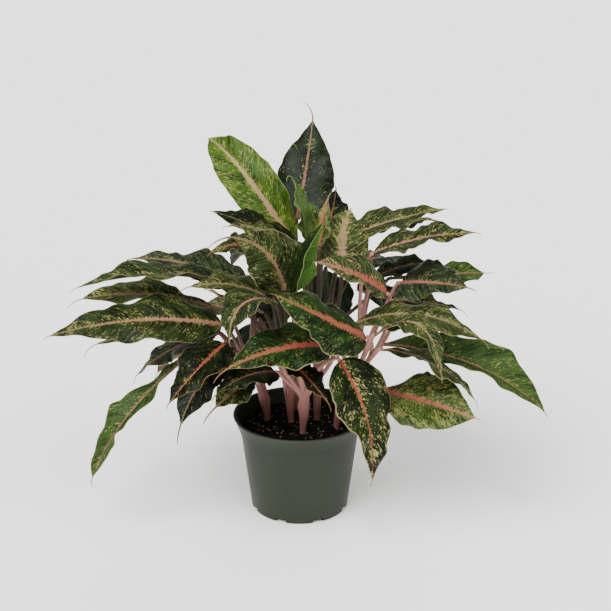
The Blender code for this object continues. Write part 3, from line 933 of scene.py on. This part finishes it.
@dataclass(frozen=True)
class Blade:
    """A leaf blade: a fine grid laid along the bowed midrib, waved, folded and quilted."""

    number: int
    leaf: Leaf
    step: float = 2.2 * MM  # from row to row
    columns: int = 20
    tail_rows: int = 9
    root: float = 2.2 * MM  # half width where it meets its stalk
    taper: float = 1.1  # how finely it narrows to its tip
    waves: float = 2.2  # ripples along a margin
    wave_shift: float = 2.4  # radians from one leaf's waves to the next leaf's
    half_shift: float = 1.1  # and from the left margin's to the right's
    ruffle: float = 0.5  # height of the finer ripples on them, as a share
    ruffles: float = 5.3  # finer ripples along a margin
    gusts: float = 6.5  # changes in how close together they lie
    ragged: float = 0.07  # how unevenly the margin is cut, as a share of the half width
    nicks: float = 15  # cuts along it
    rib_depth: float = 1.5 * MM  # thickness along the midrib, at the base
    web_depth: float = 0.55 * MM  # thickness of the lamina
    rib_reach: float = 2.0 * MM  # how far out the midrib thickens the blade
    groove: float = 0.7 * MM  # how deep the midrib lies in the upper face
    groove_reach: float = 2.2 * MM
    quilt: float = 0.45 * MM  # how far the lamina swells between side veins
    quilt_room: float = 12 * MM  # half width below which it swells less
    slant: float = 0.55  # how far a side vein runs on for each step out
    sway: float = 0.45  # how much more it bends forward by the margin
    detour: float = 1.25  # how much longer it is than straight out
    closer_rows: float = 0.35  # how much the rows close up at both ends, 0 to 1
    closer_columns: float = 1.15  # how much the columns close up at the midrib, above 1

    def half_width(self, share: float, whole: float) -> float:
        """Works out the half width: it rises to the widest place and tapers to the tail.

        Args:
            share: How far along the body, 0 to 1.
            whole: How far along body and tail together, 0 to 1.

        Returns:
            The half width in metres.
        """
        widest = self.leaf.widest
        rise = self.taper * widest / (1 - widest)
        peak = widest**rise * (1 - widest) ** self.taper
        belly = share**rise * (1 - share) ** self.taper / peak
        return self.leaf.width / 2 * MM * belly + self.root * math.sqrt(max(1 - whole, 0))

    def stations(self, body: list[float], tail: list[float]) -> list[Station]:
        """Walks the midrib.

        Args:
            body: Shares along the body, rising from 0 to 1.
            tail: Shares along the tail, above 0.

        Returns:
            A station for each share.
        """
        leaf = self.leaf
        base, tip = Vector(leaf.base) * MM, Vector(leaf.tip) * MM
        chord = tip - base
        ahead = chord.normalized()
        up = (Vector((0, 0, 1)) - ahead.z * ahead).normalized()
        bow = 2 * chord.length * (leaf.arch * up + leaf.sweep * ahead.cross(up))
        knee = base + leaf.crest * chord + bow
        tail_length = leaf.tail * MM
        length = chord.length + tail_length
        line = []
        face = up
        for share in body:
            point = (1 - share) ** 2 * base + 2 * share * (1 - share) * knee + share**2 * tip
            way = ((1 - share) * (knee - base) + share * (tip - knee)).normalized()
            face = (face - face.dot(way) * way).normalized()
            lean = math.radians(leaf.roll + leaf.twist * share)
            normal = math.cos(lean) * face + math.sin(lean) * way.cross(face)
            whole = share * chord.length / length
            half = self.half_width(share, whole)
            line.append(Station(point, way, normal, way.cross(normal), half, share, whole))
        last = line[-1]
        bend = max(math.radians(math.hypot(leaf.hook, leaf.curl)), 1e-3)
        toward = (-leaf.hook * last.face + leaf.curl * last.right).normalized()
        for share in tail:
            turn = bend * share
            reach = tail_length / bend
            point = last.point + reach * (math.sin(turn) * last.ahead + (1 - math.cos(turn)) * toward)
            way = math.cos(turn) * last.ahead + math.sin(turn) * toward
            normal = (last.face - last.face.dot(way) * way).normalized()
            whole = (chord.length + share * tail_length) / length
            half = self.half_width(1, whole)
            line.append(Station(point, way, normal, way.cross(normal), half, 1, whole))
        return line

    def veins(self, station: Station, across: float, length: float) -> tuple[float, float]:
        """Where a point lies in the net of side veins.

        Args:
            station: The place along the midrib.
            across: The share across, -1 to 1.
            length: The blade's length in metres.

        Returns:
            Metres from vein to vein, and metres out along a vein, to the left below 0.
        """
        out = abs(across) * station.half
        on = self.slant * out + self.sway * abs(across) * out
        return station.whole * length - on, math.copysign(self.detour * out, across)

    def surface(self, station: Station, across: float, length: float) -> Vector:
        """A point of the upper face.

        Args:
            station: The place along the midrib.
            across: The share across, -1 to 1.
            length: The blade's length in metres.

        Returns:
            The point, folded at the midrib, drooping and waved to the margin, and quilted.
        """
        leaf = self.leaf
        fold = math.radians(leaf.fold)
        away = abs(across)
        lift = station.half * (math.tan(fold) * away - leaf.droop * away**2)
        swell = math.sin(math.pi * station.share)
        phase = self.wave_shift * self.number + (self.half_shift if across > 0 else 0)
        beat = math.sin(math.tau * self.waves * station.share + phase)
        lift += leaf.wave * MM * away**1.5 * swell * beat
        side = math.copysign(1, across)
        gust = noise.noise(Vector((self.gusts * station.whole, 3.1 * self.number, 5 * side)))
        flutter = math.sin(math.tau * self.ruffles * station.share + 2 * phase + 3 * gust)
        lift += self.ruffle * leaf.wave * MM * away**2.5 * swell * flutter
        row, _ = self.veins(station, across, length)
        pillow = math.sin(math.pi * away**0.8) * min(1, station.half / self.quilt_room)
        lift -= self.quilt * pillow * math.cos(math.tau * row / VEIN_SPACING)
        out = away * station.half
        lift -= self.groove * math.exp(-((out / self.groove_reach) ** 2)) * (1 - station.whole)
        nick = noise.noise(Vector((self.nicks * station.whole, 7.7 * self.number, 9 * side)))
        sideways = station.half * across * math.cos(fold) * (1 + self.ragged * nick * away**2)
        return station.point + sideways * station.right + lift * station.face

    def build(self) -> Piece:
        """Builds the blade as one closed body with its two faces finished apart.

        Returns:
            The piece.
        """
        leaf = self.leaf
        chord = (Vector(leaf.tip) - Vector(leaf.base)).length * MM
        rows = round(chord / self.step)
        close, even = self.closer_rows, 1 - self.closer_rows
        body = [0.5 - 0.5 * math.cos(math.pi * row / rows) for row in range(rows + 1)]
        body = [close * share + even * row / rows for row, share in enumerate(body)]
        tail = [(row + 1) / self.tail_rows for row in range(self.tail_rows)]
        line = self.stations(body, tail)
        length = chord + leaf.tail * MM
        shape = bmesh.new()
        bmesh.ops.create_grid(shape, x_segments=self.columns, y_segments=len(line) - 1, size=1)
        share_map = shape.loops.layers.uv.new(SHARE_MAP)
        vein_map = shape.loops.layers.uv.new(VEIN_MAP)
        depth = shape.verts.layers.deform.verify()
        marks = {}
        shape.verts.ensure_lookup_table()
        for index, point in enumerate(shape.verts):
            row, column = divmod(index, self.columns + 1)
            across = 2 * column / self.columns - 1
            across = math.copysign(abs(across) ** self.closer_columns, across)
            station = line[row]
            point.co = self.surface(station, across, length)
            marks[point] = (across, station.whole), self.veins(station, across, length)
            out = abs(across) * station.half
            ridge = math.exp(-((out / self.rib_reach) ** 2)) * (1 - station.whole)
            thick = self.web_depth + (self.rib_depth - self.web_depth) * ridge
            point[depth][0] = thick / self.rib_depth
        for face in shape.faces:
            for loop in face.loops:
                loop[share_map].uv, loop[vein_map].uv = marks[loop.vert]
        last = shape.verts[-(self.columns + 1) :]
        bmesh.ops.remove_doubles(shape, verts=last, dist=0.02 * MM)
        upper, under = leaf.look.value
        name = f"blade_{self.number:02d}"
        seed = 11.7 * self.number
        finishes = [upper.coat(f"{name}_upper_cuticle", seed), under.coat(f"{name}_underside", seed)]
        piece = add_piece(name, shape, finishes, "variegated_leaf", f"leaf_{self.number:02d}")
        thickness = piece.vertex_groups.new(name="thickness")
        wall = piece.modifiers.new("thickness", "SOLIDIFY")
        wall.thickness = self.rib_depth
        wall.offset = -1
        wall.vertex_group = thickness.name
        wall.material_offset = 1
        return piece


@dataclass(frozen=True)
class Stems:
    """A crown's cane and the stalks that sheathe it."""

    crown: Crown
    leaves: list[Blade]
    cane_foot: float = 3.0 * MM  # radius
    cane_waist: float = 4.8 * MM
    cane_depth: float = 40 * MM  # below the soil's level
    foot_depth: float = 8 * MM  # how far the sheaths run on below it
    sheath: float = 6.8 * MM  # half width of a stalk where it clasps the cane
    sheath_depth: float = 1.8 * MM
    stalk: float = 2.5 * MM  # radius below the blade
    neck: float = 4 * MM
    splay: float = 0.35  # how far a stalk leans out where it leaves the cane
    leaving: float = 1.1  # how long it keeps the cane's direction, as a share of its span
    arriving: float = 0.8  # how long it takes on the blade's
    steps: int = 22  # along the free stalk
    clasps: int = 6  # along the part that clasps the cane
    sheath_top: float = 0.3  # where up the stalk its sheath is widest
    hollow: float = 0.55  # how deep the groove on a stalk's inner side is
    wrap: float = 0.35  # how far a sheath's edges reach round the cane
    sides: int = 14

    def stalk_line(self, blade: Blade) -> list[Vector]:
        """Draws the middle of a stalk: up along the cane, out of it, and on into the blade.

        Args:
            blade: The blade that it carries.

        Returns:
            Its points, from the foot up.
        """
        leaf = blade.leaf
        start = self.crown.at(leaf.leave)
        root = blade.stations([0.0, 1.0], [])[0]
        end = root.point - self.neck * root.ahead
        span = (end - start).length
        climb = (self.crown.at(leaf.leave + 0.1) - start).normalized()
        outward = end - start
        outward.z = 0
        leaving = (climb + self.splay * outward.normalized()).normalized() * span * self.leaving
        arriving = (root.ahead + Vector((0, 0, 1))).normalized() * span * self.arriving
        line = []
        for step in range(self.steps + 1):
            s = step / self.steps
            line.append(
                (2 * s**3 - 3 * s**2 + 1) * start
                + (s**3 - 2 * s**2 + s) * leaving
                + (3 * s**2 - 2 * s**3) * end
                + (s**3 - s**2) * arriving
            )
        beside = self.cane_foot * 0.5 * outward.normalized()
        clasp = [
            self.crown.at(leaf.leave * step / self.clasps) + beside * (1 - step / self.clasps)
            for step in range(self.clasps)
        ]
        return [clasp[0] - Vector((0, 0, self.foot_depth)), *clasp, *line, root.point]

    def stalk_shape(self, shape: Shape, blade: Blade) -> None:
        """Adds one stalk: a flat, grooved sheath below and a round stalk above.

        Args:
            shape: The bmesh that it goes into.
            blade: The blade that it carries.
        """
        line = self.stalk_line(blade)
        outward = line[-1] - line[0]
        outward.z = 0
        length = [0.0]
        for before, after in zip(line, line[1:]):
            length.append(length[-1] + (after - before).length)
        rings = []
        for index, point in enumerate(line):
            share = length[index] / length[-1]
            before, after = line[max(index - 1, 0)], line[min(index + 1, len(line) - 1)]
            ahead = (after - before).normalized()
            front = (outward - outward.dot(ahead) * ahead).normalized()
            side = ahead.cross(front)
            spread = max(0.0, 1 - abs(share - self.sheath_top) / self.sheath_top)
            wide = self.stalk + (self.sheath - self.stalk) * spread**1.3
            deep = self.stalk + (self.sheath_depth - self.stalk) * spread
            ring = bmesh.ops.create_circle(shape, segments=self.sides, radius=1)["verts"]
            for step, vert in enumerate(ring):
                angle = math.tau * step / self.sides
                across, out = math.cos(angle), math.sin(angle)
                hollow = 0.0 if out > 0 else self.hollow * (1 - across**2)
                clasp = self.wrap * spread * across**2 * wide
                vert.co = point + wide * across * side + (deep * out * (1 - hollow) - clasp) * front
            rings.append(ring)
        self.skin(shape, rings, length)

    def skin(self, shape: Shape, rings: list[list[bmesh.types.BMVert]], length: list[float]) -> None:
        """Bridges rings of vertices, closes both ends and maps them.

        Args:
            shape: The bmesh that holds the rings.
            rings: The rings, from the foot up.
            length: Each ring's distance from the foot, in metres.
        """
        stalk_map = shape.loops.layers.uv.verify()
        loops = [list({edge for vert in ring for edge in vert.link_edges}) for ring in rings]
        place = {}
        for ring, far in zip(rings, length):
            for step, vert in enumerate(ring):
                place[vert] = (abs(2 * step / len(ring) - 1), far)
        faces = []
        for low, high in zip(loops, loops[1:]):
            faces += bmesh.ops.bridge_loops(shape, edges=low + high)["faces"]
        faces += [shape.faces.new(rings[0]), shape.faces.new(rings[-1])]
        for face in faces:
            for loop in face.loops:
                loop[stalk_map].uv = place[loop.vert]

    def build(self, rind: Material) -> Piece:
        """Builds the crown's stems in one piece.

        Args:
            rind: The stems' finish.

        Returns:
            The piece.
        """
        shape = bmesh.new()
        shape.loops.layers.uv.new(STALK_MAP)
        shares = [k / 8 for k in range(9)]
        line = [self.crown.at(share) for share in shares]
        line.insert(0, line[0] - Vector((0, 0, self.cane_depth)))
        swell = [0.0, *(math.sin(math.pi * share**0.8) for share in shares)]
        rings = []
        for point, share in zip(line, swell):
            radius = self.cane_foot + (self.cane_waist - self.cane_foot) * share
            spot = Matrix.Translation(point)
            made = bmesh.ops.create_circle(shape, segments=self.sides, radius=radius, matrix=spot)
            rings.append(made["verts"])
        self.skin(shape, rings, [point.z for point in line])
        for blade in self.leaves:
            self.stalk_shape(shape, blade)
        bmesh.ops.recalc_face_normals(shape, faces=shape.faces)
        name = f"stems_{self.crown.name}"
        return add_piece(name, shape, [rind], "pink_stem", f"crown_{self.crown.name}")


@dataclass(frozen=True)
class NurseryPot:
    """The moulded pot: a tapered wall, a flared band, a rolled lip and slots round the foot."""

    lip_radius: float = 76 * MM
    height: float = 114 * MM
    foot_radius: float = 56 * MM
    band_height: float = 19 * MM
    band_radius: float = 69 * MM
    band_step: float = 1.4 * MM
    wall: float = 1.8 * MM
    floor: float = 2.5 * MM
    bead: float = 2.2 * MM
    foot_round: float = 2 * MM
    edge_round: float = 0.6 * MM  # at the band's lower edge and where it steps in
    arc_steps: int = 6
    crease: float = 40  # degrees from which an edge stays sharp
    slots: int = 8
    slot_size: tuple[float, float, float] = (18 * MM, 13 * MM, 9 * MM)
    sides: int = 144

    def wall_radius(self, height: float) -> float:
        """The outside radius under the band, at a height."""
        share = height / (self.height - self.band_height)
        return self.foot_radius + share * (self.band_radius - self.band_step - self.foot_radius)

    def arc(
        self, centre: tuple[float, float], radius: float, start: float, end: float
    ) -> list[tuple[float, float]]:
        """Points of an arc in the profile.

        Args:
            centre: Its radius from the axis and its height.
            radius: The arc's own radius.
            start: The angle it starts at, in degrees from straight out.
            end: The angle it ends at.

        Returns:
            Its (radius, height) points.
        """
        steps = range(self.arc_steps + 1)
        turns = [math.radians(start + (end - start) * step / self.arc_steps) for step in steps]
        return [(centre[0] + radius * math.cos(t), centre[1] + radius * math.sin(t)) for t in turns]

    def profile(self) -> list[tuple[float, float]]:
        """Draws the wall's section: along the underside, up the outside, over the lip and down.

        Returns:
            (radius, height) points that begin and end on the axis.
        """
        band_low = self.height - self.band_height
        small = self.edge_round
        roll = self.bead / 2
        foot = (self.foot_radius - self.foot_round, self.foot_round)
        step = (self.wall_radius(band_low) + small, band_low - 0.4 * self.band_step - small)
        band = (self.band_radius - small, band_low + small)
        lip = (self.lip_radius - roll, self.height - roll)
        neck = (self.lip_radius - 1.5 * roll, self.height - 3.6 * roll)
        inner_lip = (self.lip_radius - self.wall - 0.8 * roll, self.height - roll)
        return [
            (0, 0),
            *self.arc(foot, self.foot_round, -90, 4),
            *self.arc(step, small, 180, 90),
            *self.arc(band, small, -90, 10),
            neck,
            *self.arc(lip, roll, -20, 90),
            *self.arc((inner_lip[0] + 0.4 * roll, inner_lip[1]), roll, 90, 170),
            (self.lip_radius - self.bead - self.wall, self.height - 2 * self.bead),
            (self.band_radius - self.wall, band_low),
            (self.wall_radius(self.floor) - self.wall, self.floor),
            (0, self.floor),
        ]

    def build(self, plastic: Material) -> Piece:
        """Builds the pot and cuts its drain slots.

        Args:
            plastic: The pot's finish.

        Returns:
            The piece.
        """
        pot = lathe(self.profile(), self.sides)
        slots = bmesh.new()
        for index in range(self.slots):
            block = bmesh.ops.create_cube(slots, size=1)["verts"]
            bmesh.ops.scale(slots, vec=self.slot_size, verts=block)
            bmesh.ops.translate(slots, vec=(self.foot_radius, 0, 0), verts=block)
            turn = Matrix.Rotation(math.tau * (index + 0.5) / self.slots, 3, "Z")
            bmesh.ops.rotate(slots, cent=(0, 0, 0), matrix=turn, verts=block)
        shape = cut_out(pot, slots)
        piece = add_piece("nursery_pot", shape, [plastic], "pot_plastic", "pot")
        piece.data.set_sharp_from_angle(angle=math.radians(self.crease))
        return piece


def lathe(profile: list[tuple[float, float]], sides: int) -> Shape:
    """Turns a profile round Z.

    Args:
        profile: (radius, height) points that begin and end on the axis.
        sides: How many steps the turn has.

    Returns:
        A closed bmesh.
    """
    shape = bmesh.new()
    points = [shape.verts.new((radius, 0, height)) for radius, height in profile]
    edges = [shape.edges.new(pair) for pair in zip(points, points[1:])]
    bmesh.ops.spin(
        shape,
        geom=points + edges,
        axis=(0, 0, 1),
        cent=(0, 0, 0),
        steps=sides,
        angle=math.tau,
        use_merge=True,
    )
    bmesh.ops.remove_doubles(shape, verts=shape.verts, dist=0.01 * MM)
    bmesh.ops.recalc_face_normals(shape, faces=shape.faces)
    return shape


def cut_out(shape: Shape, cutters: Shape) -> Shape:
    """Takes cutters out of a shape with one exact Boolean.

    Args:
        shape: The closed shape; it is freed.
        cutters: The closed cutters in one bmesh; it is freed.

    Returns:
        What is left, as a new bmesh.
    """
    whole = bpy.data.objects.new("whole", bpy.data.meshes.new("whole"))
    cutter = bpy.data.objects.new("cutter", bpy.data.meshes.new("cutter"))
    for thing, form in ((whole, shape), (cutter, cutters)):
        form.to_mesh(thing.data)
        form.free()
        bpy.context.scene.collection.objects.link(thing)
    cut = whole.modifiers.new("cut", "BOOLEAN")
    cut.operation = "DIFFERENCE"
    cut.object = cutter
    bpy.context.view_layer.update()
    graph = bpy.context.evaluated_depsgraph_get()
    left = bmesh.new()
    left.from_object(whole, graph)
    for thing in (whole, cutter):
        mesh = thing.data
        bpy.data.objects.remove(thing)
        bpy.data.meshes.remove(mesh)
    return left


@dataclass(frozen=True)
class Potting:
    """The potting mix: a crumbled top, with perlite and bark lying in it."""

    pot: NurseryPot
    level: float
    crowning: float = 2.5 * MM
    clearance: float = 0.4 * MM
    rings: int = 56
    sides: int = 150
    clod: float = 7 * MM  # size of the large lumps
    lump: float = 3.4 * MM  # their height
    crumb: float = 1.6 * MM  # size of the small lumps
    crumb_height: float = 0.5 * MM
    sink: float = 1.2 * MM  # how far its edge lies under the level
    margin: float = 2 * MM  # how far the grains stay from the wall
    perlite: int = 190
    bark: int = 120
    draw: random.Random = field(default_factory=lambda: random.Random(21))

    def rim(self) -> float:
        """The radius at which the mix meets the wall."""
        return self.pot.wall_radius(self.level - 2 * MM) - self.pot.wall - self.clearance

    def top(self, x: float, y: float) -> float:
        """Works out the height of the crumbled top.

        Args:
            x: How far right of the pot's axis, in metres.
            y: How far behind it.

        Returns:
            The height.
        """
        share = math.hypot(x, y) / self.rim()
        coarse = noise.fractal(Vector((x, y, 0)) / self.clod, 0.6, 2.1, 4)
        fine = noise.fractal(Vector((x, y, 0.5)) / self.crumb, 0.8, 2.0, 2)
        settle = min(1, 6 * (1 - share) + 0.25)
        crown = self.crowning * (1 - share**2)
        lumps = self.lump * 0.5 * coarse + self.crumb_height * fine
        return self.level - self.sink + crown + settle * lumps

    def build(self, mix: Material) -> Piece:
        """Builds the mix.

        Args:
            mix: Its finish.

        Returns:
            The piece.
        """
        base = self.pot.floor + self.clearance
        foot = self.pot.wall_radius(self.pot.floor) - self.pot.wall - self.clearance
        profile = [(0, base), (foot, base)]
        for ring in range(self.rings + 1):
            profile.append((self.rim() * (1 - ring / self.rings), self.level))
        shape = lathe(profile, self.sides)
        for point in shape.verts:
            if point.co.z > self.level - 1 * MM:
                point.co.z = self.top(point.co.x, point.co.y)
        return add_piece("potting_mix", shape, [mix], "potting_soil", "soil")

    def scatter(
        self, name: str, count: int, size: tuple[float, float], flat: float, finish: Material
    ) -> Piece:
        """Strews grains over the top.

        Args:
            name: The piece's name.
            count: How many grains.
            size: The least and the most across a grain, in metres.
            flat: A grain's height as a share of its width.
            finish: The grains' finish.

        Returns:
            The grains, in one piece.
        """
        shape = bmesh.new()
        for _ in range(count):
            angle = self.draw.uniform(0, math.tau)
            far = (self.rim() - self.margin) * math.sqrt(self.draw.random())
            x, y = far * math.cos(angle), far * math.sin(angle)
            width = self.draw.uniform(*size)
            grain = bmesh.ops.create_icosphere(shape, subdivisions=1, radius=width / 2)["verts"]
            for vert in grain:
                vert.co *= self.draw.uniform(0.75, 1.2)
            stretch = (1.0, self.draw.uniform(0.5, 1), flat)
            bmesh.ops.scale(shape, vec=stretch, verts=grain)
            lie = Euler((self.draw.uniform(-0.5, 0.5), self.draw.uniform(-0.5, 0.5), angle * 3))
            bmesh.ops.rotate(shape, cent=(0, 0, 0), matrix=lie.to_matrix(), verts=grain)
            spot = (x, y, self.top(x, y) + 0.25 * flat * width)
            bmesh.ops.translate(shape, vec=spot, verts=grain)
        return add_piece(name, shape, [finish], "potting_soil")


@dataclass(frozen=True)
class Studio:
    """A pale floor, soft light from large panels, and the camera."""

    target: tuple[float, float, float] = (0.0068, 0.0, 0.2445)
    floor_radius: float = 40.0
    elevation: float = 20.3
    distance: float = 1.5
    lens: float = 79.5

    def soft_sun(
        self, name: str, place: tuple[float, float, float], spread: float, power: float, shine: bool = True
    ) -> None:
        """Adds one broad light that shines as evenly as a large panel far away.

        Args:
            name: The light's name.
            place: Where it shines from.
            spread: How broad it is seen from the plant, in degrees.
            power: Its strength in watts per square metre.
            shine: Whether glossy leaves mirror it.
        """
        light = bpy.data.lights.new(name, "SUN")
        light.angle = math.radians(spread)
        light.energy = power
        lamp = bpy.data.objects.new(name, light)
        lamp.rotation_euler = (-Vector(place)).to_track_quat("-Z", "Y").to_euler()
        lamp.visible_glossy = shine
        bpy.context.scene.collection.objects.link(lamp)

    def build(self) -> None:
        """Builds the floor, the lights, the surroundings and the camera."""
        shape = bmesh.new()
        bmesh.ops.create_circle(shape, cap_ends=True, segments=96, radius=self.floor_radius)
        mesh = bpy.data.meshes.new("studio_floor")
        shape.to_mesh(mesh)
        shape.free()
        paper, tree = new_material("pale_paper")
        matt = add_node(tree, "ShaderNodeBsdfDiffuse", {"Color": linear("#F4F4F2")})
        add_node(tree, "ShaderNodeOutputMaterial", {"Surface": matt.outputs[0]})
        mesh.materials.append(paper)
        floor = bpy.data.objects.new("studio_floor", mesh)
        bpy.context.scene.collection.objects.link(floor)
        self.soft_sun("key", (-1.2, -1.5, 2.4), 50, 6.3)
        self.soft_sun("fill", (1.7, -1.2, 1.4), 60, 2.3)
        self.soft_sun("back", (0.4, 1.8, 1.2), 60, 1.4, shine=False)
        world = bpy.data.worlds.new("pale_room")
        world.use_nodes = True
        world.node_tree.nodes["Background"].inputs["Color"].default_value = linear("#F4F5F6")
        world.node_tree.nodes["Background"].inputs["Strength"].default_value = 0.5
        bpy.context.scene.world = world
        view = bpy.data.cameras.new("front_view")
        view.lens = self.lens
        camera = bpy.data.objects.new("front_view", view)
        tilt = math.radians(self.elevation)
        back = Vector((0, -math.cos(tilt), math.sin(tilt)))
        camera.location = Vector(self.target) + self.distance * back
        camera.rotation_euler = (-back).to_track_quat("-Z", "Y").to_euler()
        bpy.context.scene.collection.objects.link(camera)
        bpy.context.scene.camera = camera


def main() -> None:
    """Builds and dresses the plant, piece by piece."""
    logging.basicConfig(level=logging.INFO, format="%(name)s: %(message)s")
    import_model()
    Studio().build()
    pot = NurseryPot()
    log.info("made %s", pot.build(Moulding().coat("moulded_polypropylene")).name)
    potting = Potting(pot, SOIL_LEVEL)
    mix = Crumb("#060504", "#1A1411", 1.8).coat("damp_peat")
    perlite = Crumb("#6E6A64", "#A8A49C", 1.5).coat("puffed_perlite")
    bark = Crumb("#0E0907", "#241812", 1.2).coat("shredded_bark")
    log.info("made %s", potting.build(mix).name)
    grains = potting.scatter("perlite_grains", potting.perlite, (0.9 * MM, 2.2 * MM), 0.8, perlite)
    log.info("made %s", grains.name)
    chips = potting.scatter("bark_chips", potting.bark, (3 * MM, 7 * MM), 0.3, bark)
    log.info("made %s", chips.name)
    blades = [Blade(number, leaf) for number, leaf in enumerate(LEAVES, 1)]
    for blade in blades:
        log.info("made %s", blade.build().name)
    rosy = Rind().coat("rosy_rind")
    # Painted shade: the canes in the plant's dark middle, all but c and f, get a near-black top and darker
    # streaks for the shade the leaves cast on them.
    shaded = Rind(top="#332A1C", streak="#42332A", fade=0.23).coat("shaded_rind")
    for crown in CROWNS:
        carried = [blade for blade in blades if blade.leaf.crown == crown.name]
        rind = rosy if crown.name in "cf" else shaded
        log.info("made %s", Stems(crown, carried).build(rind).name)
    bpy.context.view_layer.update()


if __name__ == "__main__":
    main()
